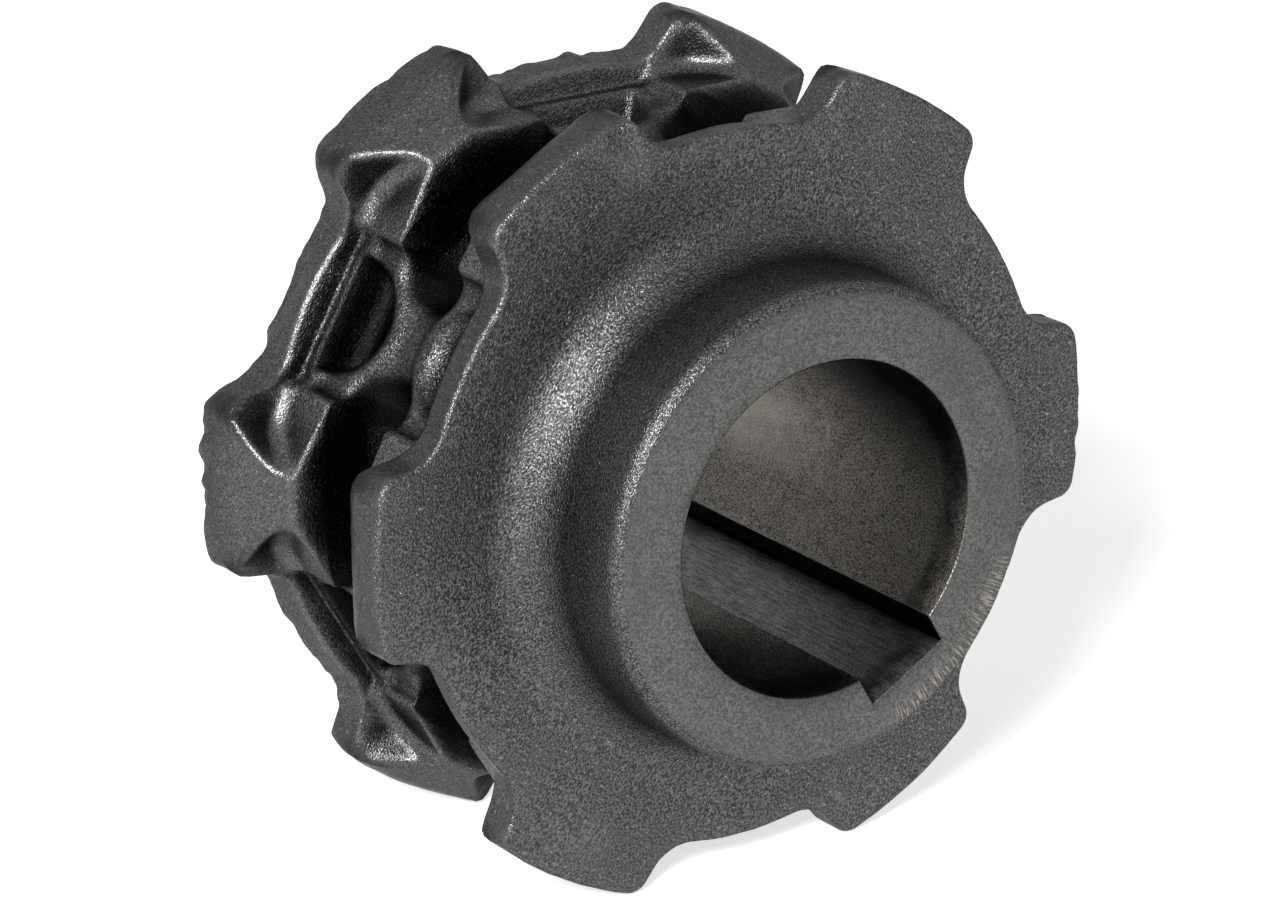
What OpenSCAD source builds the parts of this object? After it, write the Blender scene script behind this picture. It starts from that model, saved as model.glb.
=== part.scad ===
// Pocket wheel for round link chain: one casting with two toothed flanges, link pockets and a keyed bore.
// The wheel turns about Y. The origin is on the axis, half way between the flanges, and the hub points to -Y.

/* [Chain] */
// Number of flat links, and so of pockets, round the wheel
pocket_count = 6; // [6:1:9]
// Inner length of one link
chain_pitch = 31; // [29:0.5:34]
// Diameter of the link wire
wire_d = 11; // [10:0.5:12]
// Outer width of one link
link_w = 37; // [34:0.5:39]

/* [Pockets] */
// Gap between a flat link and the wall of its pocket
link_clear = 1.3; // [0.8:0.1:2]
// Gap between a flat link and the four seats under its ends
seat_clear = 1.8; // [0.5:0.1:3]
// Radius between the seat and the pocket wall
pocket_fillet = 4; // [2:0.25:5]
// Length of the lowered middle of the pocket, between the seats
relief_length = 24.8; // [22:0.2:28]
// Depth of the lowered middle below the seats
relief_depth = 2.1; // [1:0.1:3]
// Distance of the lowered middle from the pocket wall
relief_inset = 0.8; // [0.4:0.1:1.5]
// Width of each dirt hollow, measured round the wheel
hollow_width = 19.2; // [16:0.2:21]
// Depth of a dirt hollow below the lowered middle
hollow_depth = 4.8; // [2:0.2:6]
// Radius between the floor and the wall of a dirt hollow
hollow_fillet = 3.5; // [1:0.25:5]
// Width of the bridge between the two dirt hollows of a pocket
hollow_bridge = 7.6; // [5:0.2:12]
// Width of the ledge between a dirt hollow and the edge of the lowered middle
hollow_ledge = 2.4; // [1:0.1:3.5]

/* [Link wells] */
// Width of the well that takes a standing link
well_width = 14.4; // [13:0.2:16]
// Gap between a standing link and the floor of its well
well_clear = 0.2; // [0.1:0.1:1.5]

/* [Teeth] */
// Height of the tooth tips above the middle of the links
tip_rise = 4.65; // [3:0.05:6]
// Width of a tooth at its tip
tip_width = 26.8; // [22:0.2:29]
// Lean of each tooth flank
flank_lean = 9; // [4:0.5:14]
// Radius at the corners of the tip
tip_round = 2; // [1:0.25:4]
// Radius between a tooth flank and the flange rim
root_fillet = 3.5; // [2:0.25:5]
// Distance between a front tooth and the rear tooth that faces it
tooth_gap = 16.6; // [15:0.2:19]
// Depth of the inner edge of a tooth below the middle of the links
tooth_edge_drop = 1.85; // [0:0.05:3]
// Slope of the facet that falls from the tip to the inner edge
facet_slope = 33; // [25:1:45]

/* [Flanges] */
// Width over the outer faces of both flanges
flange_span = 49.5; // [46:0.5:54]
// Depth of the flange rims below the middle of the links
rim_drop = 3.35; // [2:0.05:5]

/* [Hub] */
// Diameter of the hub
hub_d = 72.6; // [66:0.2:80]
// Height of the hub above the front flange
hub_height = 21; // [14:0.5:30]
// Radius of the cove at the foot of the hub
hub_cove = 8; // [3:0.5:10]
// Radius on the outer edge of the hub
hub_edge = 2.5; // [0.5:0.25:5]
// Diameter of the shaft bore
bore_d = 50; // [44:0.5:52]
// Width of the keyway
key_width = 14; // [12:0.5:16]
// Depth of the keyway from the bore wall, at its middle
key_depth = 3.8; // [2.8:0.1:4.3]
// Direction of the keyway, turned from +X towards +Z
key_angle = -60; // [-180:1:180]

/* [Hidden] */

$fn = 96;
overcut = 1;
iron_colour = [0.27, 0.27, 0.28];

// Pockets and teeth repeat by this angle, and each tooth stands half way between two pockets
pitch_angle = 360 / pocket_count;

// Two links fill one pitch angle, so the middle of every link touches this radius
link_radius = chain_pitch / (2 * tan(pitch_angle / 4));

// From the middle of a link to the centre of either round end
nose_offset = (chain_pitch + 2 * wire_d - link_w) / 2;

tip_radius = link_radius + tip_rise;
rim_radius = link_radius - rim_drop;
half_span = flange_span / 2;

// A pocket is the outline of a flat link with its gap all round
pocket_radius = link_w / 2 + link_clear;
relief_radius = pocket_radius - relief_inset;
seat_height = link_radius - wire_d / 2 - seat_clear;
relief_height = seat_height - relief_depth;
hollow_height = relief_height - hollow_depth;
cut_height = tip_radius + overcut;

// A well is the outline of a standing link, with a round wire that is as wide as the well
well_half = well_width / 2;
well_reach = link_w / 2 + well_clear;

// Section of the notch between facing teeth: half widths at the well, at the tooth edge and above the tip
edge_half = tooth_gap / 2;
edge_height = link_radius - tooth_edge_drop;
mouth_half = edge_half + (cut_height - edge_height) / tan(facet_slope);

// The notch runs across the whole tooth
notch_length = tip_width + 2 * (tip_radius - seat_height) * tan(flank_lean) + 2 * root_fillet;

// Tooth flank: half width of the straight flank at a height above the axis
function flank_at(height) = tip_width / 2 + (tip_radius - height) * tan(flank_lean);

// Distance that a rounded corner's centre stays inside the flank, measured round the wheel
function inset(radius) = radius / cos(flank_lean);

// Height of a point that lies on the flank line moved sideways by shift, at this distance from the axis
function height_on_flank(distance, shift) =
    let (
        slope = tan(flank_lean),
        base = tip_width / 2 + tip_radius * slope + shift,
        reach = 1 + slope * slope
    )
    (base * slope + sqrt(reach * distance * distance - base * base)) / reach;

// Section with one rounded lower corner, to turn into the round end of a pocket or hollow
module bowl_section(radius, height, fillet) {
    square([radius - fillet, height]);
    translate([0, fillet]) square([radius, height - fillet]);
    translate([radius - fillet, fillet]) circle(fillet);
}

// The same section with both lower corners rounded, to carry straight on from the round end
module trough_section(radius, height, fillet) {
    bowl_section(radius, height, fillet);
    mirror([1, 0]) bowl_section(radius, height, fillet);
}

// Carries a drawing outwards from the axis, with its width round the wheel
module outwards(length) {
    rotate([90, 0, 90]) linear_extrude(length) children();
}

// Carries a drawing round the wheel, with its height outwards
module lengthwise(length) {
    rotate([90, 0, 90]) rotate([90, 0, 90]) linear_extrude(length, center = true) children();
}

// Carries a drawing along the axis, with its height outwards
module crosswise(length) {
    rotate(-90) linear_extrude(length) children();
}

// Plan of a flat link with round ends of this radius
module link_outline(radius) {
    for (side = [-1, 1]) translate([side * nose_offset, 0]) circle(radius);
    square([2 * nose_offset, 2 * radius], center = true);
}

// One tooth of the flange outline, standing along +X, with round tip corners and a fillet at each root
module tooth_outline() {
    // Centre of the tip corner, and the points where it meets the flank and the tip
    corner_x = height_on_flank(tip_radius - tip_round, -inset(tip_round));
    corner_y = flank_at(corner_x) - inset(tip_round);
    corner_turn = atan2(corner_y, corner_x);
    flank_x = corner_x + tip_round * sin(flank_lean);
    flank_y = corner_y + tip_round * cos(flank_lean);
    top_x = tip_radius * cos(corner_turn);
    top_y = tip_radius * sin(corner_turn);

    // Centre of the root fillet, and the points where it meets the flank and the rim
    root_x = height_on_flank(rim_radius + root_fillet, inset(root_fillet));
    root_y = flank_at(root_x) + inset(root_fillet);
    root_turn = atan2(root_y, root_x);
    foot_x = root_x - root_fillet * sin(flank_lean);
    foot_y = root_y - root_fillet * cos(flank_lean);
    rim_x = rim_radius * cos(root_turn);
    rim_y = rim_radius * sin(root_turn);

    difference() {
        union() {
            polygon([
                [0, 0], [rim_x, -rim_y], [foot_x, -foot_y], [flank_x, -flank_y], [top_x, -top_y],
                [top_x, top_y], [flank_x, flank_y], [foot_x, foot_y], [rim_x, rim_y]
            ]);
            for (side = [-1, 1]) translate([corner_x, side * corner_y]) circle(tip_round);
            intersection() {
                circle(tip_radius);
                polygon([[0, 0], 2 * [top_x, -top_y], 2 * [top_x, top_y]]);
            }
        }
        for (side = [-1, 1]) translate([root_x, side * root_y]) circle(root_fillet);
    }
}

// Outline of both flanges: the rim with a tooth at every pitch angle
module flange_outline() {
    circle(rim_radius);
    for (tooth = [0 : pocket_count - 1]) rotate(tooth * pitch_angle) tooth_outline();
}

// Hub section: straight side, round outer edge and a cove that runs out on the flange
module hub_section() {
    hub_r = hub_d / 2;
    translate([0, half_span - overcut]) square([hub_r, hub_height + overcut - hub_edge]);
    translate([0, half_span]) square([hub_r - hub_edge, hub_height]);
    translate([hub_r - hub_edge, half_span + hub_height - hub_edge]) circle(hub_edge);
    difference() {
        translate([0, half_span - overcut]) square([hub_r + hub_cove, hub_cove + overcut]);
        translate([hub_r + hub_cove, half_span + hub_cove]) circle(hub_cove);
    }
}

// Space for one flat link: the outline of the link, open to the outside, with its middle lowered
module link_pocket() {
    depth = cut_height - seat_height;
    translate([seat_height, 0, 0]) {
        for (side = [-1, 1])
            translate([0, side * nose_offset, 0]) rotate([0, 90, 0]) rotate(90 - side * 90)
                rotate_extrude(angle = 180) bowl_section(pocket_radius, depth, pocket_fillet);
        lengthwise(2 * nose_offset) trough_section(pocket_radius, depth, pocket_fillet);
    }
    translate([relief_height, 0, 0]) outwards(relief_depth + pocket_fillet) intersection() {
        square([relief_length, 2 * relief_radius], center = true);
        link_outline(relief_radius);
    }
}

// One dirt hollow: round towards the middle of the wheel, straight along the flange
module dirt_hollow() {
    radius = hollow_width / 2;
    depth = seat_height - hollow_height;
    centre = hollow_bridge / 2 + radius;
    translate([hollow_height, 0, centre]) {
        rotate([0, 90, 0]) rotate(-90)
            rotate_extrude(angle = 180) bowl_section(radius, depth, hollow_fillet);
        crosswise(relief_radius - hollow_ledge - centre) trough_section(radius, depth, hollow_fillet);
    }
}

// Space for one standing link: its outline, with the round wire along the floor and both ends
module link_well() {
    wire_centre = well_reach - well_half;
    for (side = [-1, 1])
        translate([link_radius, side * nose_offset, 0]) rotate_extrude() {
            translate([0, -well_half]) square([wire_centre, well_width]);
            translate([wire_centre, 0]) circle(well_half);
        }
    rotate([90, 0, 0]) linear_extrude(2 * nose_offset, center = true) {
        translate([link_radius - wire_centre, 0]) circle(well_half);
        translate([link_radius - wire_centre, -well_half])
            square([cut_height - link_radius + wire_centre, well_width]);
    }
}

// Notch between a front tooth and the rear tooth that faces it, with the sloping facet of each
module tooth_notch() {
    rotate([90, 0, 0]) linear_extrude(notch_length, center = true)
        polygon([
            [seat_height, -well_half], [edge_height, -edge_half], [cut_height, -mouth_half],
            [cut_height, mouth_half], [edge_height, edge_half], [seat_height, well_half]
        ]);
}

// Bore with its keyway, right through the wheel
module keyed_bore() {
    length = flange_span + hub_height + 2 * overcut;
    translate([0, 0, -half_span - overcut]) {
        cylinder(h = length, d = bore_d);
        rotate(key_angle) translate([0, -key_width / 2, 0])
            cube([bore_d / 2 + key_depth, key_width, length]);
    }
}

module pocket_wheel() {
    color(iron_colour) rotate([90, 0, 0]) difference() {
        union() {
            linear_extrude(flange_span, center = true) flange_outline();
            rotate_extrude() hub_section();
        }
        for (pocket = [0 : pocket_count - 1]) {
            rotate((pocket + 0.5) * pitch_angle) {
                link_pocket();
                dirt_hollow();
                mirror([0, 0, 1]) dirt_hollow();
            }
            rotate(pocket * pitch_angle) {
                link_well();
                tooth_notch();
            }
        }
        keyed_bore();
    }
}

pocket_wheel();
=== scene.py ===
"""Cast iron pocket wheel for round link chain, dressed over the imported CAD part."""
import math

import bpy
import numpy as np
from mathutils import Matrix, Vector


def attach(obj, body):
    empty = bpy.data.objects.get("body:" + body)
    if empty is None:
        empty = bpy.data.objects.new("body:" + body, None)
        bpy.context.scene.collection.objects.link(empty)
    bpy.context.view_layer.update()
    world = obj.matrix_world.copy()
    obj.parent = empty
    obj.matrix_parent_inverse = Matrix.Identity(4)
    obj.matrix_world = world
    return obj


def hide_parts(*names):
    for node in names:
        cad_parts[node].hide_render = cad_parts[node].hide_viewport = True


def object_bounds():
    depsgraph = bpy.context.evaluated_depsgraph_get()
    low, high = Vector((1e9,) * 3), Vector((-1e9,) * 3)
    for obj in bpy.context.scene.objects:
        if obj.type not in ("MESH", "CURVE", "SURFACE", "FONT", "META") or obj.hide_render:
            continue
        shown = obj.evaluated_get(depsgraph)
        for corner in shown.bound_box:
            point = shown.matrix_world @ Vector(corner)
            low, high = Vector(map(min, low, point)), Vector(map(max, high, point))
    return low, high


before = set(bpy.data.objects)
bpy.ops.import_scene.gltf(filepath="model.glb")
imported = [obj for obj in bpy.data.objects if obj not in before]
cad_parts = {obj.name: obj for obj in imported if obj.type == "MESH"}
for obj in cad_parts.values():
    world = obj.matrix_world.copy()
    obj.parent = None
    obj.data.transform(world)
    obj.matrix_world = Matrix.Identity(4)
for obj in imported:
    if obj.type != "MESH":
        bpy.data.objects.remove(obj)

cad_low, cad_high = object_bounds()

# Sizes of the wheel in millimetres, as in the CAD part
POCKETS = 6
LINK_INNER = 31
PITCH = 2 * math.pi / POCKETS
HALF_PITCH = PITCH / 2
LINK_R = LINK_INNER / (2 * math.tan(PITCH / 4))
NOSE = 8.0
TIP_R = LINK_R + 4.65
TIP_HALF = 13.4
TIP_ROUND = 2.0
ROOT_FILLET = 3.5
FLANK_LEAN = math.radians(9)
RIM_R = LINK_R - 3.35
HALF_SPAN = 24.75
POCKET_R = 19.8
SEAT_R = LINK_R - 7.3
RELIEF_R = LINK_R - 9.4
RELIEF_HALF = 12.4
WELL_HALF = 7.2
WELL_REACH = 18.7
EDGE_HALF = 8.3
EDGE_R = LINK_R - 1.85
FACET_SLOPE = math.radians(33)
HUB_R = 36.3
HUB_EDGE = 2.5
HUB_COVE = 8.0
HUB_FACE = -HALF_SPAN - 21.0
BORE_R = 25.0
KEY_HALF = 7.0
KEY_REACH = 28.8
KEY_TURN = math.radians(-60)

# Sizes in millimetres, and slopes, that only the skin has
SMALL_ROUND = 0.8
RIM_FALL = 0.16
POCKET_DRAFT = 0.1
POCKET_FOOT = 2.6
POCKET_EDGE = 0.9
TOOTH_SHARPER = 0.35
TOOTH_SPAN = (15.0, 19.0)
WAIST = 1.4
WAIST_SPAN = (13.0, 20.0)
RELIEF_INSET = 0.15
RELIEF_DRAFT = 0.06
RELIEF_FOOT = 1.4
END_SLOPE = 0.45
END_SCALE = 0.91
GROOVE = 1.6
GROOVE_SPAN = (1.2, 6.2)
LEDGE = 1.1
LEDGE_SPAN = (12.5, 16.0)
HOLLOW_R = LINK_R - 15.2
HOLLOW_HALF = 8.6
HOLLOW_WIDE = 11.2
HOLLOW_END = 16.2
HOLLOW_DRAFT = 0.12
HOLLOW_SLOPE = 0.6
HOLLOW_FOOT = 2.4
CREST_ROUND = 1.3
CREST_RUN = 6
LIP_EDGE = 1.0
LIP_ROUND = 2.0
LIP_RUN = 5
FACET_BELOW_SEAT = 1
FACET_EDGE = 1.1
SLOT_EDGE = 0.7
HUB_SPREAD = 0.15
HUB_STRAIGHT = 7.5
BORE_EDGE = 0.4
CHIP_R = 61.8
CHIP_TURN = math.radians(109.4)
CHIP_SIZE = 2.2
CHIP_DEPTH = 0.9
METRES = 0.001


# Shapes of the casting, as signed distances: below zero is iron

def fade(value, low, high):
    """Smooth step from 0 at low to 1 at high."""
    share = np.clip((value - low) / (high - low), 0, 1)
    return share * share * (3 - 2 * share)


def overlap(a, b, radius):
    """Overlap of two shapes. Where both distances are within the radius of zero they add up like the sides
    of a right angle, which rounds the edge between the two shapes to that radius."""
    inside = np.minimum(np.maximum(a, b), -radius)
    return inside + np.hypot(np.maximum(radius + a, 0), np.maximum(radius + b, 0))


def joined(a, b, radius):
    """Union of two shapes with a fillet in the corner: the overlap of what is outside them, turned round."""
    return -overlap(-a, -b, radius)


def without(iron, space, radius):
    """Iron with a space taken out of it and the rim of the space rounded."""
    return overlap(iron, -space, radius)


def flange_shape(r, tooth_out, tooth_side, along):
    """Rim that falls a little towards the pocket, joined to a leaning tooth, between the flange faces."""
    lean = (tooth_side - TIP_HALF - (TIP_R - tooth_out) * math.tan(FLANK_LEAN)) * math.cos(FLANK_LEAN)
    rim = r - RIM_R + RIM_FALL * (HALF_SPAN - along)
    outline = joined(rim, overlap(r - TIP_R, lean, TIP_ROUND), ROOT_FILLET)
    return overlap(outline, along - HALF_SPAN, SMALL_ROUND)


def waist(side):
    """How far a link's outline is drawn in: most at its middle, and nothing towards its ends."""
    return WAIST * (1 - fade(side, *WAIST_SPAN))


def link_outline(side, along):
    """Distance to the outline of a flat link with round ends, drawn in a little at its waist."""
    return np.hypot(np.maximum(side - NOSE, 0), along + waist(side)) - POCKET_R


def pocket_space(out, side, along):
    """Outline of a flat link, drafted a little, above its seats, with a round foot to the wall."""
    wall = link_outline(side, along) - POCKET_DRAFT * (out - SEAT_R)
    return overlap(wall, SEAT_R - out, POCKET_FOOT)


def relief_space(out, side, along):
    """The lowered middle of a pocket, as wide as the pocket, with sloping ends at the seats, a shallow groove
    between the hollows and a ledge along the flange."""
    wall = link_outline(side, along) + RELIEF_INSET - RELIEF_DRAFT * (out - RELIEF_R)
    ends = (side - RELIEF_HALF - END_SLOPE * (out - SEAT_R)) * END_SCALE
    floor = RELIEF_R - GROOVE * (1 - fade(along, *GROOVE_SPAN)) + LEDGE * fade(along, *LEDGE_SPAN)
    return overlap(wall, overlap(ends, floor - out, RELIEF_FOOT), SMALL_ROUND)


def hollow_space(out, side, along):
    """Half moon beside the flange: half an ellipse whose round wall slopes more the farther it is from the
    flange, cut off straight on the side of the flange, with a round floor."""
    reach = (HOLLOW_END - along) / HOLLOW_WIDE
    slope = HOLLOW_DRAFT + HOLLOW_SLOPE * np.clip(reach, 0, 1)
    moon = (np.hypot(reach, side / HOLLOW_HALF) - 1) * HOLLOW_HALF - slope * (out - RELIEF_R)
    moon = overlap(moon, along - HOLLOW_END - HOLLOW_DRAFT * (out - RELIEF_R), SMALL_ROUND)
    return overlap(moon, HOLLOW_R - out, HOLLOW_FOOT)


def well_space(out, side, along):
    """Outline of a standing link, open outwards, with a round wire along its floor and ends."""
    ends = np.maximum(side - NOSE, 0)
    ring = np.where(out < LINK_R, np.hypot(ends, out - LINK_R), ends)
    return np.hypot(np.maximum(ring - WELL_REACH + WELL_HALF, 0), along) - WELL_HALF


def tooth_place(r, turn):
    """Height and way to the side from the middle of the nearest tooth, at a turn from a pocket's middle."""
    lean = HALF_PITCH - np.abs(turn)
    return r * np.cos(lean), np.abs(r * np.sin(lean))


def casting(r, turn, y):
    """Distance to the skin of the toothed ring at a radius, a turn from the middle of a pocket and a place
    along the axis: the flange outline without the pocket, its lowered middle, the hollows, the well and
    the notch between two teeth."""
    out, side = r * np.cos(turn), np.abs(r * np.sin(turn))
    tooth_out, tooth_side = tooth_place(r, turn)
    along = np.abs(y)
    iron = flange_shape(r, tooth_out, tooth_side, along)
    edge = POCKET_EDGE - TOOTH_SHARPER * fade(side, *TOOTH_SPAN)
    iron = without(iron, pocket_space(out, side, along), edge)
    iron = without(iron, relief_space(out, side, along), SMALL_ROUND)
    crest = SMALL_ROUND + CREST_ROUND * np.clip((HOLLOW_END - along) / CREST_RUN, 0, 1)
    iron = without(iron, hollow_space(out, side, along), crest)
    lip = LIP_EDGE + LIP_ROUND * np.clip((RELIEF_HALF - side) / LIP_RUN, 0, 1)
    iron = without(iron, well_space(tooth_out, tooth_side, along), lip)
    facet = (along - EDGE_HALF) * math.sin(FACET_SLOPE) - (tooth_out - EDGE_R) * math.cos(FACET_SLOPE)
    iron = without(iron, np.maximum(facet, SEAT_R - FACET_BELOW_SEAT - tooth_out), FACET_EDGE)
    widen = (EDGE_HALF - WELL_HALF) / (EDGE_R - SEAT_R)
    slot = along - WELL_HALF - (tooth_out - SEAT_R) * widen
    return without(iron, np.maximum(slot, SEAT_R - tooth_out), SLOT_EDGE)


# The grid that carries the skin, with its columns, its rays and its rows in the bore

GRID_R = 53.0
COLUMN_COUNTS = (16, 5, 9, 12, 13)
SEAT_GUIDES = (11.5, 13.3)
LEAST_FOOT = 14.2
LEAST_WALL = 6.0
WALL_STRAIGHT = 18.2
WALL_WIDTH = 2.4
WALL_FADE = (18.6, 1.4, 5.0)
PIVOT_ROWS = (7.6, 9.0)
PIVOTS = (19.0, 25.0)
WALK_FROM, WALK_TO, WALK_STEP = 13.0, -24.0, -0.2
HALVINGS = 20
KEY_MOUTH = math.radians(18.0)
KEY_FOOT = math.radians(12.5)
BORE_ROWS = (10.0, -3.0, -15.0, -25.0, -32.0, -39.0)


def spaced(start, *runs):
    """Grid values from a start through runs of (end, spacing)."""
    values = [np.array([start])]
    for end, gap in runs:
        first = values[-1][-1]
        count = max(1, round((end - first) / gap))
        values.append(np.linspace(first, end, count + 1)[1:])
    return np.concatenate(values)


def ring_rows():
    """Places along the axis from the middle to a flange face, close together where walls stand."""
    return spaced(0.0, (5.4, 0.68), (6.7, 0.45), (8.9, 0.25), (15.4, 0.65), (16.9, 0.3), (17.9, 0.5),
                  (18.9, 0.125), (20.2, 0.43), (23.7, 1.1), (24.5, 0.27), (24.71, 0.11))


def ring_columns(along):
    """Places round half a pocket for every row. The columns run between guide lines: the middle of the
    pocket, the two sides of the edge of the seating face, the foot and the top of the pocket wall, and the
    middle of the tooth."""
    clear = np.clip(along, EDGE_HALF, WALL_STRAIGHT)
    wall = NOSE + np.sqrt(POCKET_R ** 2 - clear ** 2)
    clear = clear + waist(wall)
    wall = NOSE + np.sqrt(np.maximum(POCKET_R ** 2 - clear ** 2, LEAST_WALL ** 2))
    foot = np.maximum(wall, LEAST_FOOT) - SMALL_ROUND
    fade_from, fade_run, fade_width = WALL_FADE
    top = foot + WALL_WIDTH + np.clip((along - fade_from) / fade_run, 0, 1) * fade_width
    level = np.ones_like(along)
    seat_guides = [place * level for place in SEAT_GUIDES]
    guides = [0 * level, *seat_guides, foot, top, GRID_R * math.tan(HALF_PITCH) * level]
    runs = [guides[0][None]]
    for low, high, count in zip(guides, guides[1:], COLUMN_COUNTS):
        share = np.linspace(0, 1, count + 1)[1:, None]
        runs.append(low + (high - low) * share)
    return np.concatenate(runs)


def ring_half():
    """Half a pocket of skin. Every grid point has a ray that leans from straight out of the pocket to
    straight out of the tooth. The point lies where the ray, walked inwards, first meets iron, found by
    halving the last step."""
    along = ring_rows()
    place = ring_columns(along)
    wall_top = place[-COLUMN_COUNTS[-1] - 1]
    pivot = np.interp(along, PIVOT_ROWS, PIVOTS)
    pivot = np.minimum(pivot, np.maximum(wall_top, PIVOTS[0]))
    lean = np.arctan2(np.maximum(place - pivot, 0), GRID_R - pivot / math.tan(HALF_PITCH))

    def at(step):
        out = GRID_R + np.cos(lean)[..., None] * step
        side = place[..., None] + np.sin(lean)[..., None] * step
        return np.hypot(out, side), np.arctan2(side, out)

    walk = np.arange(WALK_FROM, WALK_TO, WALK_STEP)
    r, turn = at(walk)
    iron = casting(r, turn, along[None, :, None]) < 0
    first = np.maximum(iron.argmax(axis=2), 1)
    inner, outer = walk[first], walk[first - 1]
    for _ in range(HALVINGS):
        middle = (inner + outer) / 2
        r, turn = at(middle[..., None])
        hit = casting(r, turn, along[None, :, None])[..., 0] < 0
        inner, outer = np.where(hit, middle, inner), np.where(hit, outer, middle)
    r, turn = at(inner[..., None])
    return r[..., 0], turn[..., 0], along


def whole_ring():
    """The half pocket mirrored to a whole one, to both flanges, and turned round to every pocket."""
    r, turn, along = ring_half()
    r = np.concatenate([r[:0:-1], r])[:-1]
    turn = np.concatenate([-turn[:0:-1], turn])[:-1]
    r = np.concatenate([r[:, :0:-1], r], axis=1)
    turn = np.concatenate([turn[:, :0:-1], turn], axis=1)
    along = np.concatenate([-along[:0:-1], along])
    places = PITCH * (np.arange(POCKETS) + 0.5)
    turn = (places[:, None, None] + turn).reshape(-1, len(along))
    r = np.tile(r, (POCKETS, 1))
    return r, turn, along


def bore_outline(turn):
    """Bore wall for every column, as points across the axis, with each point's way outwards and a mark that
    is 0 on the round wall, about a half on the floor of the keyway and 1 on its sides. Columns beside the
    keyway are shared out over its floor, its two side walls and the rest of the circle."""
    turn = (turn - KEY_TURN + math.pi) % (2 * math.pi) - math.pi
    size, sign = np.abs(turn), np.sign(turn)
    nearest = np.unique(size.round(6))
    mouth = nearest[np.abs(nearest - KEY_MOUTH).argmin()]
    foot = nearest[np.abs(nearest - KEY_FOOT).argmin()]
    corner = math.asin(KEY_HALF / BORE_R)
    shared = np.interp(size, [mouth, HALF_PITCH], [corner, HALF_PITCH])
    round_turn = np.where(size < HALF_PITCH, shared, size)
    slack = 1e-5
    on_wall = (size < mouth + slack) & (size > foot - slack)
    on_floor = size <= foot - slack

    def pick(wall, floor, bore):
        return np.where(on_wall, wall, np.where(on_floor, floor, bore))

    wall_out = np.interp(size, [foot, mouth], [KEY_REACH, BORE_R * math.cos(corner)])
    out = pick(wall_out, KEY_REACH, BORE_R * np.cos(round_turn))
    side = pick(KEY_HALF, KEY_HALF * size / foot, BORE_R * np.sin(round_turn))
    keyed = pick(1.0, 0.5 + 0.35 * (side / KEY_HALF) ** 6, 0.0)
    way_out = pick(1.0, 1.0, np.cos(round_turn))
    way_side = pick(1.0, side / KEY_HALF, np.sin(round_turn))
    c, s = math.cos(KEY_TURN), math.sin(KEY_TURN)

    def across(a, b):
        return np.stack([a * c - b * s, a * s + b * c], axis=1)

    return across(out, side * sign), across(way_out, way_side * sign), keyed


def bend(mid_r, mid_y, radius, start, end, count):
    """Radius and place along the axis of points on a circular bend."""
    angle = np.radians(np.linspace(start, end, count))
    return list(zip(mid_r + radius * np.cos(angle), mid_y + radius * np.sin(angle)))


def wheel_grid():
    """All rows of the closed skin, in order: bore, hub face, hub edge, cove, front flange, toothed ring and
    rear flange. Returns the points as rows by columns, a finish for each row and the keyway's marks."""
    r, turn, along = whole_ring()
    ring = np.stack([r * np.cos(turn), np.broadcast_to(along, r.shape), r * np.sin(turn)], axis=2)
    ring = ring.transpose(1, 0, 2)
    front = np.arctan2(ring[0, :, 2], ring[0, :, 0])
    circle = np.stack([np.cos(front), np.sin(front)], axis=1)
    bore, way, keyed = bore_outline(front)
    bore_rim = bore + BORE_EDGE * way

    rows, finishes = [], []

    def add(across, y, finish):
        rows.append(np.stack([across[:, 0], np.full(len(across), y), across[:, 1]], axis=1))
        finishes.append(finish)

    def between(low, high, shares, y, finish):
        for share in shares:
            add(low + (high - low) * share, y, finish)

    for y in (HALF_SPAN - BORE_EDGE, *BORE_ROWS, HUB_FACE + BORE_EDGE):
        add(bore, y, "bore")
    face = (HUB_R - HUB_EDGE) * circle
    between(bore_rim, face, (0.0, 0.33, 0.66), HUB_FACE, "hub_face")
    for radius, y in bend(HUB_R - HUB_EDGE, HUB_FACE + HUB_EDGE, HUB_EDGE, -90, 0, 7):
        add(radius * circle, y, "hub_edge")
    add((HUB_R + HUB_SPREAD) * circle, HUB_FACE + HUB_STRAIGHT, "cast")
    for radius, y in bend(HUB_R + HUB_COVE, -HALF_SPAN - HUB_COVE, HUB_COVE, 178, 90, 10):
        add(radius * circle, y, "cast")
    foot = (HUB_R + HUB_COVE) * circle
    between(foot, ring[0][:, [0, 2]], (0.3, 0.65, 0.96), -HALF_SPAN, "cast")
    rows.extend(ring)
    finishes.extend(["ring"] * len(ring))
    between(ring[-1][:, [0, 2]], bore_rim, (0.02, 0.3, 0.65, 1.0), HALF_SPAN, "cast")
    return np.stack(rows), np.array(finishes), keyed


# Irregularities of the casting: layers of (height, size, seed), multipliers of the random numbers, and steps
# of the look for shelter

WAVES = ((0.07, 11.0, 1), (0.05, 4.1, 2), (0.045, 1.5, 3))
RAGS = ((0.55, 2.6, 4), (0.45, 5.3, 5), (0.25, 1.3, 6))
EDGE_ROWS = (21.5, 24.4)
WORN_SPAN = (math.radians(11), math.radians(16))
LATTICE_X, LATTICE_Y, LATTICE_Z = 127.1, 311.7, 74.7
LATTICE_SEED = 53.3
LATTICE_SPREAD = 43758.5453
LOOK_LIFT = 0.8
LOOK_STEPS = (2.0, 4.5, 8.0, 13.0, 20.0)


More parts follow.
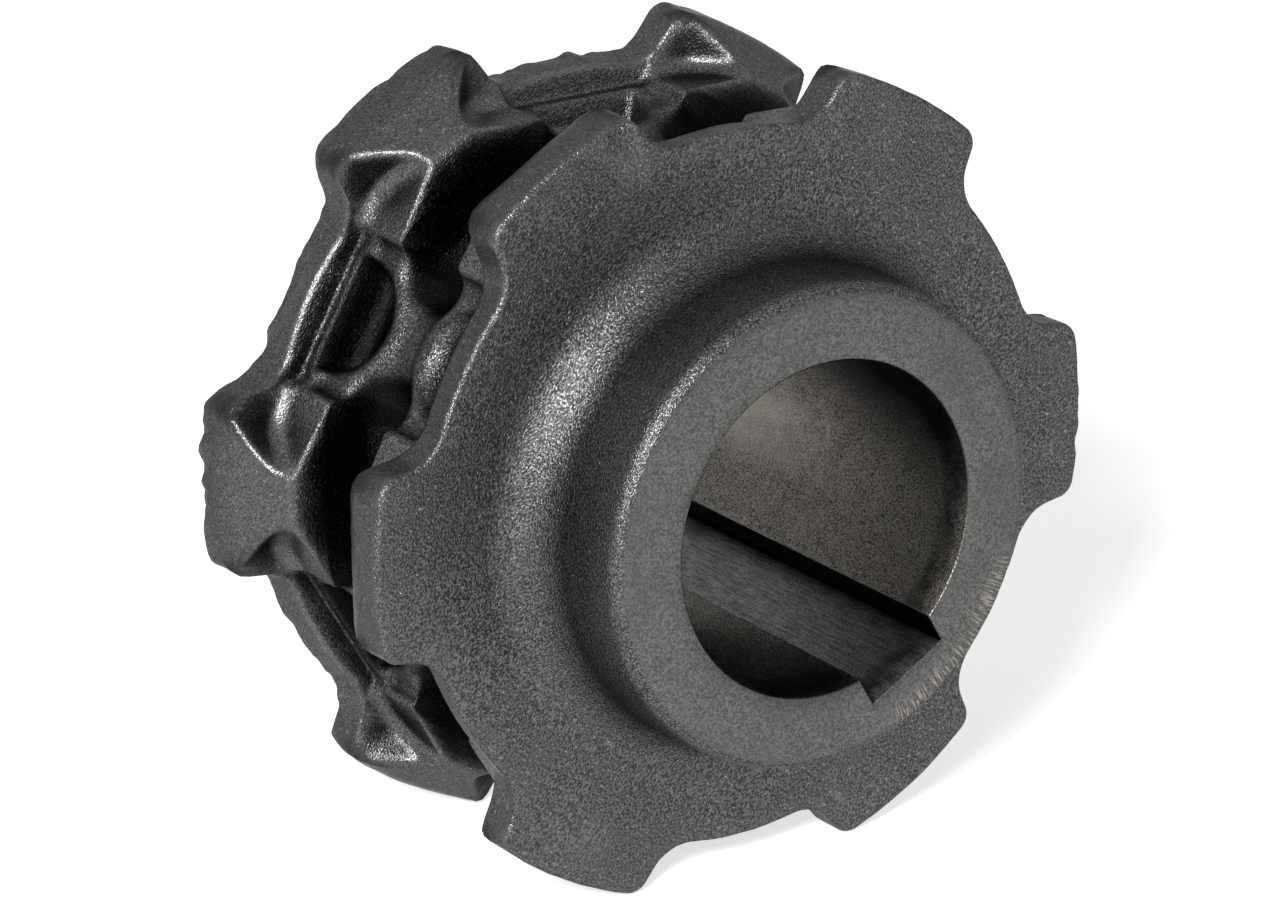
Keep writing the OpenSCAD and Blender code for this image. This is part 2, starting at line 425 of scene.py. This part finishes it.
def lattice(cell, seed):
    """A fixed random number from 0 to 1 for every cell of a whole-number grid."""
    key = cell[..., 0] * LATTICE_X + cell[..., 1] * LATTICE_Y + cell[..., 2] * LATTICE_Z + seed * LATTICE_SEED
    mixed = np.sin(key) * LATTICE_SPREAD
    return mixed - np.floor(mixed)


def rough(points, size, seed):
    """Smooth random heights from -1 to 1 in space: the random numbers at the eight corners of a cell of this
    size, mixed by how near each corner is."""
    scaled = points / size
    cell = np.floor(scaled)
    part = scaled - cell
    part = part * part * (3 - 2 * part)
    total = np.zeros(points.shape[:-1])
    for corner in np.ndindex(2, 2, 2):
        near = np.where(corner, part, 1 - part).prod(axis=-1)
        total += near * lattice(cell + np.array(corner), seed)
    return total * 2 - 1


def rough_layers(points, layers):
    """Sum of several layers of random heights."""
    return sum(height * rough(points, size, seed) for height, size, seed in layers)


def grid_normals(points):
    """Outward normals of a grid closed both ways, from the differences to the neighbours."""
    down = np.roll(points, -1, axis=0) - np.roll(points, 1, axis=0)
    over = np.roll(points, -1, axis=1) - np.roll(points, 1, axis=1)
    normal = np.cross(down, over)
    return normal / np.maximum(np.linalg.norm(normal, axis=2, keepdims=True), 1e-9)


def axis_place(points):
    """Radius from the axis, turn round it, and turn from the middle of the nearest pocket."""
    turn = np.arctan2(points[..., 2], points[..., 0])
    return np.hypot(points[..., 0], points[..., 2]), turn, turn % PITCH - HALF_PITCH


def shelter(points, normal):
    """Share of the sky that other iron of the ring hides from every point: steps out from it in the 26
    directions to the neighbours of a cube, each counted by how squarely it faces the point, and looks
    whether it meets iron."""
    hidden = sky = 0
    for way in np.ndindex(3, 3, 3):
        way = np.array(way) - 1.0
        way /= max(np.linalg.norm(way), 1)
        facing = np.maximum(normal @ way, 0)
        closed = 0
        for step in LOOK_STEPS:
            over = points + normal * LOOK_LIFT + way * step
            r, _, lean = axis_place(over)
            gap = casting(r, lean, over[..., 1])
            closed = np.maximum(closed, fade(-gap, -1.0, 1.0))
        hidden = hidden + facing * closed
        sky = sky + facing
    return hidden / np.maximum(sky, 1e-9)


def shade_in_recesses(points, normal):
    """How much painted shade darkens each point of the ring towards black: more where other iron hides the
    sky, on steep walls, at the foot of the seats and in corners, and fully in the wells and the hollows, but
    less in the pocket on top."""
    r, turn, lean = axis_place(points)
    along = np.abs(points[..., 1])
    out, side = r * np.cos(lean), np.abs(r * np.sin(lean))
    middle = turn - lean
    upright = (normal[..., 0] * np.cos(middle) + normal[..., 2] * np.sin(middle)).clip(0, 1)
    away = (normal[..., 1] * np.sign(points[..., 1])).clip(0, 1)
    steep = (1 - upright - 1.3 * away).clip(0, 1) * fade(24.3 - along, 0, 0.8)
    foot = 1 - fade(np.abs(side - RELIEF_HALF + 1.2), 0.6, 2.6)
    foot = foot * fade(SEAT_R - out, 0.3, 1.6) * fade(17.4 - along, 0, 1.5)
    corner = fade(along, 16.9, 17.7) * (1 - fade(out - RELIEF_R, 0.8, 2.0)) * (1 - fade(side, 10.0, 13.0))
    closed = shelter(points, normal) * (1 - 0.6 * away) + 0.36 * steep + 0.3 * foot + 0.4 * corner
    black = fade(closed, 0.22, 0.75)
    well = well_space(*tooth_place(r, lean), along)
    black = np.maximum(black, 0.93 - 0.93 * fade(well, 0.1, 0.9))
    hollow = hollow_space(out, side, along)
    floor = np.maximum(1 - fade(away, 0.25, 0.6), fade(RELIEF_R - out, 1.8, 3.6))
    black = np.maximum(black, (1 - fade(hollow, 0.1, 1.0)) * floor)
    top = 1 - fade(np.abs(turn - math.radians(95)), math.radians(20), math.radians(26))
    return black * (1 - 0.85 * top * fade(along, 8.0, 9.0))


def cast_skin(points, finishes):
    """Moves the cast rows along their normals by long and short waves, takes the chip out of one tooth's
    corner, and draws the rear edge of the ring, and the front edge of one tooth, in by small ragged steps."""
    normal = grid_normals(points)
    cast = np.isin(finishes, ["cast", "ring", "hub_edge"]).astype(float)[:, None]
    chip = np.array([CHIP_R * math.cos(CHIP_TURN), -HALF_SPAN, CHIP_R * math.sin(CHIP_TURN)])
    chipped = np.exp(-((points - chip) ** 2).sum(axis=2) / CHIP_SIZE ** 2)
    wave = rough_layers(points, WAVES) - CHIP_DEPTH * chipped
    moved = points + normal * (wave * cast)[..., None]

    r, turn, _ = axis_place(moved)
    y = moved[..., 1]
    ring = (finishes == "ring")[:, None]
    rim = np.stack([moved[..., 0], 0 * r, moved[..., 2]], axis=2)
    ragged = rough_layers(rim, RAGS)
    rear = ring * fade(y, *EDGE_ROWS) * np.clip(0.1 + ragged, -0.3, 1.0)
    worn_tooth = 1 - fade(np.abs(turn), *WORN_SPAN)
    front = ring * fade(-y, *EDGE_ROWS) * np.clip(ragged, -0.2, 0.8) * (0.06 + 0.5 * worn_tooth)
    drawn_in = 1 - (rear + front) / np.maximum(r, 1)
    moved[..., 0] *= drawn_in
    moved[..., 2] *= drawn_in
    return moved


# The mesh, and the marks on its points that tell the finishes where they lie and where shade and highlights
# are painted

EDGE_BULGE = 0.06
STROKE_R = 34.0
SHARP_ANGLE = math.radians(52)


def between_fades(value, start, full, ending, end):
    """Rises from 0 at start to 1 at full, and falls from 1 at ending to 0 at end."""
    return fade(value, start, full) * (1 - fade(value, ending, end))


def finish_marks(points, finishes, keyed):
    """Values for every point by name: where the bore is machined, the keyway cut and the hub face ground,
    convex edges paled for wear and a painted highlight, an edge dimmed by painted shade, a painted sheen on
    the seats, painted shade in the recesses, file strokes, painted shade and a painted highlight in the bore,
    and the smoother lands of the teeth."""
    normal = grid_normals(points)
    near = np.roll(points, 1, 0) + np.roll(points, -1, 0) + np.roll(points, 1, 1) + np.roll(points, -1, 1)
    bulge = np.clip(((points - near / 4) * normal).sum(axis=2) / EDGE_BULGE, 0, 1)
    r, turn, lean = axis_place(points)
    out, side = r * np.cos(lean), np.abs(r * np.sin(lean))
    y, degrees = points[..., 1], np.degrees(turn)
    along = np.abs(y)
    bore = (finishes == "bore")[:, None].astype(float)
    ring = (finishes == "ring")[:, None]
    cast = np.isin(finishes, ["cast", "ring"])[:, None]
    rim = fade(r, RIM_R - 4, RIM_R - 2)

    # Painted shade on the top edge of the pocket wall towards the teeth, to dim its highlight.
    edge_painted_shade = rim * between_fades(along, 9.5, 11.0, 22.5, 23.8) * fade(side, *TOOTH_SPAN)
    # Painted sheen: a paler colour on the flat seats that stands in for the light they reflect.
    seat = ring * (1 - fade(np.abs(out - SEAT_R), 0.3, 0.9)) * fade(along, 7.9, 8.9)
    seat = seat * between_fades(side, RELIEF_HALF - 1, RELIEF_HALF + 1, 22.0, 25.0)
    filed = between_fades(degrees, -75, -66, -26, -12) * (1 - fade(y, HUB_FACE + 1.2, HUB_FACE + 3.0))
    # Painted shade in the bore: over its top, widest at the front and narrowing towards the rear, and at its
    # bottom near the front.
    roof_shade = fade(degrees - 2 * (y - HUB_FACE), -8, 10) * (1 - fade(degrees, 130, 160))
    lowest_shade = between_fades(degrees, -130, -110, -80, -70) * (1 - fade(y, -42, -26))
    return {
        "machined": bore,
        "keyed": bore * keyed,
        "faced": (finishes == "hub_face")[:, None] | (y < HUB_FACE + 0.2),
        # Convex outer edges: partly real wear, partly a painted highlight.
        "edge": bulge * cast * rim,
        "edge_painted_shade": ring * bulge * edge_painted_shade,
        "seat": seat,
        # Painted shade in the recesses, kept off the seats.
        "painted_shade_mask": ring * shade_in_recesses(points, normal) * (1 - 0.9 * seat),
        "filed": fade(r, 31.5, 33.5) * filed,
        "bore_painted_shade": np.maximum(roof_shade, lowest_shade),
        # Painted highlight on the bore wall beside the keyway, towards the rear.
        "bore_painted_highlight": fade(y, -8, 3) * between_fades(degrees, -26, -12, 0, 12),
        "land": ring * fade(r, 52.5, 53.5) * fade(along, 8.0, 9.0) * fade(24.4 - along, 0, 0.5),
    }


def build_wheel():
    """The skin as one mesh, with marks for the finishes stored on its points."""
    points, finishes, keyed = wheel_grid()
    points = cast_skin(points, finishes)
    count, around = points.shape[:2]
    index = np.arange(count * around).reshape(count, around)
    right = np.roll(index, -1, axis=1)
    below = np.roll(index, -1, axis=0)
    corner = np.roll(below, -1, axis=1)
    faces = np.stack([index, below, corner, right], axis=2).reshape(-1, 4)

    mesh = bpy.data.meshes.new("pocket_wheel_casting")
    mesh.vertices.add(count * around)
    mesh.vertices.foreach_set("co", (points * METRES).astype(np.float32).ravel())
    mesh.loops.add(faces.size)
    mesh.loops.foreach_set("vertex_index", faces.astype(np.int32).ravel())
    mesh.polygons.add(len(faces))
    mesh.polygons.foreach_set("loop_start", np.arange(0, faces.size, 4, dtype=np.int32))
    mesh.polygons.foreach_set("use_smooth", np.ones(len(faces), dtype=bool))
    mesh.update(calc_edges=True)
    mesh.validate()
    mesh.set_sharp_from_angle(angle=SHARP_ANGLE)

    for name, values in finish_marks(points, finishes, keyed).items():
        layer = mesh.attributes.new(name, "FLOAT", "POINT")
        values = np.broadcast_to(values, (count, around)).astype(np.float32)
        layer.data.foreach_set("value", values.ravel())
    r, turn, _ = axis_place(points)
    places = np.stack([r, turn * STROKE_R, 0 * r], axis=2) * METRES
    polar = mesh.attributes.new("polar", "FLOAT_VECTOR", "POINT")
    polar.data.foreach_set("vector", places.astype(np.float32).ravel())
    piece = bpy.data.objects.new("pocket_wheel_casting", mesh)
    bpy.context.scene.collection.objects.link(piece)
    return piece


# Finish of the iron: sizes of its noises in metres, and the colours it mixes

CLOUD_SIZE = 0.012
MOTTLE_SIZE = 0.003
GRAIN_SIZE = 0.00026
FINE_SIZE = 0.0003
GLINT_SIZE = 0.0005
STROKE_SIZE = 0.00035
GRAIN_DEPTH = 0.00018
GRAIN_TURN = math.radians(-50)
SKIN_DARK, SKIN_PALE = (0.027, 0.027, 0.029, 1), (0.136, 0.135, 0.137, 1)
SKIN_CLOUD = (0.085, 0.083, 0.080, 1)
LAND_DARK, LAND_PALE = (0.032, 0.031, 0.030, 1), (0.135, 0.132, 0.127, 1)
LAND_MOTTLE = (0.090, 0.087, 0.083, 1)
# Edge colours: pale for edge wear with a painted highlight, and near black for painted shade that dims a
# highlight.
EDGE_WEAR_HIGHLIGHT, EDGE_SHADE = (0.20, 0.20, 0.195, 1), (0.02, 0.02, 0.02, 1)
GLINT = (0.30, 0.30, 0.30, 1)
# Colours of the painted sheen on the seats.
SEAT_SHEEN_DARK, SEAT_SHEEN_PALE = (0.045, 0.045, 0.045, 1), (0.24, 0.238, 0.234, 1)
# Painted shade: near black for recesses and corners, where shade falls.
SHADE_BLACK = (0.005, 0.005, 0.005, 1)
GROUND_DARK, GROUND_PALE = (0.062, 0.061, 0.060, 1), (0.146, 0.143, 0.140, 1)
GROUND_CLOUD = (0.072, 0.072, 0.073, 1)
BORE_DARK, BORE_PALE = (0.030, 0.028, 0.026, 1), (0.160, 0.151, 0.140, 1)
BORE_MOTTLE = (0.130, 0.119, 0.108, 1)
# Bore colours: a painted highlight, and near black for painted shade.
BORE_HIGHLIGHT, BORE_SHADE = (0.220, 0.208, 0.186, 1), (0.012, 0.012, 0.012, 1)
KEY_DARK, KEY_PALE = (0.048, 0.048, 0.049, 1), (0.150, 0.149, 0.148, 1)
# Painted shade for the keyway's side walls.
KEY_SIDE_SHADE = (0.006, 0.006, 0.006, 1)
FILED = (0.34, 0.31, 0.27, 1)
SPECULAR_TINT = (0.5, 0.5, 0.5, 1)


class Paint:
    """Small helper that adds and links the nodes of one material."""

    def __init__(self, name):
        self.material = bpy.data.materials.new(name)
        self.material.use_nodes = True
        self.tree = self.material.node_tree
        self.shader = self.tree.nodes["Principled BSDF"]
        self.place = self.add("ShaderNodeTexCoord").outputs["Object"]

    def add(self, kind, **settings):
        node = self.tree.nodes.new(kind)
        for key, value in settings.items():
            setattr(node, key, value)
        return node

    def plug(self, value, socket):
        """Links a node's output to a socket, or sets the socket to a constant."""
        if isinstance(value, bpy.types.NodeSocket):
            self.tree.links.new(value, socket)
        else:
            socket.default_value = value

    def noise(self, size, detail, roughness, place=None):
        node = self.add("ShaderNodeTexNoise")
        self.plug(place or self.place, node.inputs["Vector"])
        self.plug(1.0 / size, node.inputs["Scale"])
        self.plug(detail, node.inputs["Detail"])
        self.plug(roughness, node.inputs["Roughness"])
        return node.outputs["Fac"]

    def stretched(self, place, scale, turn=(0.0, 0.0, 0.0)):
        node = self.add("ShaderNodeMapping", vector_type="TEXTURE")
        self.plug(place, node.inputs["Vector"])
        self.plug(turn, node.inputs["Rotation"])
        self.plug(scale, node.inputs["Scale"])
        return node.outputs["Vector"]

    def span(self, value, low, high, to_low=0.0, to_high=1.0):
        """Smooth step from one value at low to another at high."""
        node = self.add("ShaderNodeMapRange", interpolation_type="SMOOTHSTEP")
        self.plug(value, node.inputs["Value"])
        self.plug(low, node.inputs["From Min"])
        self.plug(high, node.inputs["From Max"])
        self.plug(to_low, node.inputs["To Min"])
        self.plug(to_high, node.inputs["To Max"])
        return node.outputs["Result"]

    def calc(self, kind, a, b):
        node = self.add("ShaderNodeMath", operation=kind)
        self.plug(a, node.inputs[0])
        self.plug(b, node.inputs[1])
        return node.outputs[0]

    def times(self, a, b):
        return self.calc("MULTIPLY", a, b)

    def mix(self, share, a, b):
        """Colour between a and b."""
        node = self.add("ShaderNodeMix", data_type="RGBA")
        self.plug(share, node.inputs["Factor"])
        self.plug(a, node.inputs["A"])
        self.plug(b, node.inputs["B"])
        return node.outputs[2]

    def blend(self, share, a, b):
        """Number between a and b."""
        node = self.add("ShaderNodeMix", data_type="FLOAT")
        self.plug(share, node.inputs[0])
        self.plug(a, node.inputs[2])
        self.plug(b, node.inputs[3])
        return node.outputs[0]

    def mark(self, name, output="Fac"):
        return self.add("ShaderNodeAttribute", attribute_name=name).outputs[output]

    def bump(self, height, depth):
        node = self.add("ShaderNodeBump")
        self.plug(height, node.inputs["Height"])
        self.plug(1.0, node.inputs["Strength"])
        self.plug(depth, node.inputs["Distance"])
        return node.outputs["Normal"]


def iron_finish():
    """Grey cast iron: sand grain on the cast skin, smoother tooth lands, a painted sheen on the seats, a
    finely ground hub face with file strokes, a machined bore, a slotted keyway, painted glints, painted
    highlights on edges and in the bore, and painted shade on an edge, in the recesses, bore and keyway."""
    paint = Paint("grey_cast_iron")
    machined, keyed, faced = paint.mark("machined"), paint.mark("keyed"), paint.mark("faced")
    edge, edge_painted_shade, land, seat = paint.mark("edge"), paint.mark("edge_painted_shade"), paint.mark("land"), paint.mark("seat")
    painted_shade_mask, filed, bore_painted_shade, bore_painted_highlight = (paint.mark(name) for name in ("painted_shade_mask", "filed", "bore_painted_shade", "bore_painted_highlight"))
    smooth = paint.calc("MAXIMUM", machined, faced)

    cloud = paint.noise(CLOUD_SIZE, 4.0, 0.6)
    mottle = paint.noise(MOTTLE_SIZE, 4.0, 0.65)
    streaks = paint.stretched(paint.place, (1.6, 1.0, 1.0), (0.0, GRAIN_TURN, 0.0))
    grain = paint.noise(GRAIN_SIZE, 2.0, 0.55, streaks)
    fine = paint.noise(FINE_SIZE, 2.0, 0.6)
    glints = paint.noise(GLINT_SIZE, 1.0, 0.5)
    slotted = paint.noise(FINE_SIZE, 3.0, 0.6, paint.stretched(paint.place, (1.0, 14.0, 1.0)))
    polar = paint.stretched(paint.mark("polar", "Vector"), (9.0, 1.0, 1.0))
    strokes = paint.noise(STROKE_SIZE, 2.0, 0.5, polar)

    skin = paint.mix(paint.span(grain, 0.38, 0.66), SKIN_DARK, SKIN_PALE)
    skin = paint.mix(paint.span(cloud, 0.40, 0.75, 0.0, 0.30), skin, SKIN_CLOUD)
    trimmed = paint.mix(paint.span(fine, 0.35, 0.65), LAND_DARK, LAND_PALE)
    trimmed = paint.mix(paint.span(mottle, 0.4, 0.8, 0.0, 0.5), trimmed, LAND_MOTTLE)
    skin = paint.mix(paint.times(land, 0.75), skin, trimmed)
    # Convex outer edges paled: partly wear, partly a painted highlight.
    skin = paint.mix(paint.times(edge, 0.2), skin, EDGE_WEAR_HIGHLIGHT)
    skin = paint.mix(paint.span(glints, 0.66, 0.76, 0.0, 0.6), skin, GLINT)
    # Painted shade dims the highlight on that edge.
    skin = paint.mix(paint.times(edge_painted_shade, 0.7), skin, EDGE_SHADE)
    # Painted sheen on the seats.
    seat_sheen_colour = paint.mix(paint.span(grain, 0.38, 0.66), SEAT_SHEEN_DARK, SEAT_SHEEN_PALE)
    skin = paint.mix(paint.times(seat, 0.7), skin, seat_sheen_colour)
    # Painted shade darkens the skin towards near black in the recesses, leaving a few grains lighter.
    painted_shade_mask = paint.times(painted_shade_mask, paint.span(fine, 0.58, 0.74, 1.0, 0.88))
    skin = paint.mix(painted_shade_mask, skin, SHADE_BLACK)

    ground = paint.mix(paint.span(fine, 0.32, 0.7), GROUND_DARK, GROUND_PALE)
    ground = paint.mix(paint.span(cloud, 0.42, 0.66, 0.0, 0.35), ground, GROUND_CLOUD)

    turned = paint.mix(paint.span(fine, 0.36, 0.62), BORE_DARK, BORE_PALE)
    turned = paint.mix(paint.span(mottle, 0.4, 0.75, 0.0, 0.35), turned, BORE_MOTTLE)
    # Painted highlight in the bore.
    turned = paint.mix(paint.times(bore_painted_highlight, 0.6), turned, BORE_HIGHLIGHT)
    # Painted shade in the bore.
    turned = paint.mix(paint.times(bore_painted_shade, 0.85), turned, BORE_SHADE)
    slot = paint.mix(paint.span(paint.blend(0.5, slotted, fine), 0.36, 0.64), KEY_DARK, KEY_PALE)
    # Painted shade: the keyway's side walls near black, and its floor darker towards them.
    slot = paint.mix(paint.span(keyed, 0.6, 0.9), slot, KEY_SIDE_SHADE)
    turned = paint.mix(paint.span(keyed, 0.1, 0.4), turned, slot)

    colour = paint.mix(machined, paint.mix(faced, skin, ground), turned)
    filed = paint.times(filed, paint.span(strokes, 0.50, 0.62))
    colour = paint.mix(paint.times(filed, 0.7), colour, FILED)
    paint.plug(colour, paint.shader.inputs["Base Color"])

    cast_gloss = paint.span(grain, 0.3, 0.7, 0.34, 0.22)
    smooth_gloss = paint.span(mottle, 0.3, 0.7, 0.42, 0.30)
    paint.plug(paint.blend(smooth, cast_gloss, smooth_gloss), paint.shader.inputs["Roughness"])
    paint.plug(1.0, paint.shader.inputs["Metallic"])
    paint.plug(SPECULAR_TINT, paint.shader.inputs["Specular Tint"])

    level = paint.blend(smooth, paint.blend(land, 1.0, 0.5), 0.25)
    paint.plug(paint.bump(paint.times(grain, level), GRAIN_DEPTH), paint.shader.inputs["Normal"])
    return paint.material


# Stage: floor, light and camera, in metres

WORLD_FILL = 0.18
FLOOR_GAP = 0.0002
FLOOR_RINGS = (0.0, 0.3, 1.0, 4.0)
FLOOR_SIDES = 64
FLOOR_COLOUR = (0.86, 0.86, 0.86, 1)
FLOOR_ROUGHNESS = 0.9
FLOOR_GLOW = 0.70
WHITE = (1, 1, 1, 1)
LAMP_WAY = Vector((-0.64, -0.58, 0.50)).normalized()
LAMP_DISTANCE = 1.3
LAMP_SIZE = 0.28
LAMP_POWER = 23.0
CAMERA_PLACE = (-0.4200, -0.6229, 0.2652)
CAMERA_RIGHT = Vector((0.8279, -0.5608, -0.0099))
CAMERA_AHEAD = Vector((0.5258, 0.7822, -0.3340)).normalized()
CAMERA_LENS = 150.66
CAMERA_SENSOR = 36.0


def light_path_white(tree):
    """Share of rays that see the background itself: camera, glossy and transmitted ones."""
    path = tree.nodes.new("ShaderNodeLightPath")
    first = tree.nodes.new("ShaderNodeMath")
    first.operation = "MAXIMUM"
    second = tree.nodes.new("ShaderNodeMath")
    second.operation = "MAXIMUM"
    tree.links.new(path.outputs["Is Camera Ray"], first.inputs[0])
    tree.links.new(path.outputs["Is Glossy Ray"], first.inputs[1])
    tree.links.new(first.outputs[0], second.inputs[0])
    tree.links.new(path.outputs["Is Transmission Ray"], second.inputs[1])
    return second.outputs[0]


def white_world():
    """White to look at, and a soft even fill for all other rays."""
    world = bpy.data.worlds.new("studio")
    bpy.context.scene.world = world
    world.use_nodes = True
    tree = world.node_tree
    back = tree.nodes["Background"]
    back.inputs["Color"].default_value = WHITE
    strength = tree.nodes.new("ShaderNodeMapRange")
    tree.links.new(light_path_white(tree), strength.inputs["Value"])
    strength.inputs["To Min"].default_value = WORLD_FILL
    strength.inputs["To Max"].default_value = 1.0
    tree.links.new(strength.outputs["Result"], back.inputs["Strength"])


def pale_floor(height):
    """A wide flat disc: points on rings about the middle. It looks white and still takes the shadow."""
    ring = np.array(FLOOR_RINGS)[:, None]
    turn = np.linspace(0, 2 * math.pi, FLOOR_SIDES + 1)[:-1]
    x, y = ring * np.cos(turn), ring * np.sin(turn)
    points = np.stack([x, y, np.full(x.shape, height)], axis=2).reshape(-1, 3)
    index = np.arange(len(points)).reshape(len(ring), -1)
    right = np.roll(index, -1, axis=1)
    faces = np.stack([index[:-1], index[1:], right[1:], right[:-1]], axis=2).reshape(-1, 4)
    mesh = bpy.data.meshes.new("floor")
    mesh.from_pydata(points.tolist(), [], faces.tolist())
    floor = bpy.data.objects.new("floor", mesh)
    bpy.context.scene.collection.objects.link(floor)
    paint = Paint("pale_floor")
    glow = paint.times(light_path_white(paint.tree), FLOOR_GLOW)
    paint.plug(FLOOR_COLOUR, paint.shader.inputs["Base Color"])
    paint.plug(FLOOR_ROUGHNESS, paint.shader.inputs["Roughness"])
    paint.plug(0.0, paint.shader.inputs["Specular IOR Level"])
    paint.plug(WHITE, paint.shader.inputs["Emission Color"])
    paint.plug(glow, paint.shader.inputs["Emission Strength"])
    mesh.materials.append(paint.material)


def key_lamp():
    """A square lamp at the front left, above the wheel, that faces the origin."""
    lamp = bpy.data.lights.new("key_lamp", "AREA")
    lamp.shape = "SQUARE"
    lamp.size = LAMP_SIZE
    lamp.energy = LAMP_POWER
    stand = bpy.data.objects.new("key_lamp", lamp)
    stand.location = LAMP_WAY * LAMP_DISTANCE
    stand.rotation_euler = LAMP_WAY.to_track_quat("Z", "Y").to_euler()
    bpy.context.scene.collection.objects.link(stand)


def photo_camera():
    """Long lens from the front left, a little above the wheel."""
    camera = bpy.data.cameras.new("photo_camera")
    camera.sensor_width = CAMERA_SENSOR
    camera.lens = CAMERA_LENS
    camera.clip_start, camera.clip_end = 0.05, 20.0
    stand = bpy.data.objects.new("photo_camera", camera)
    up = CAMERA_RIGHT.cross(CAMERA_AHEAD).normalized()
    right = CAMERA_AHEAD.cross(up).normalized()
    turn = Matrix((right, up, -CAMERA_AHEAD)).transposed()
    stand.matrix_world = Matrix.Translation(CAMERA_PLACE) @ turn.to_4x4()
    bpy.context.scene.collection.objects.link(stand)
    bpy.context.scene.camera = stand


wheel = build_wheel()
wheel.data.materials.append(iron_finish())
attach(wheel, "root")
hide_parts("pocket_wheel")

photo_camera()
pale_floor(cad_low.z - FLOOR_GAP)
white_world()
key_lamp()
bpy.context.scene.view_settings.view_transform = "Standard"
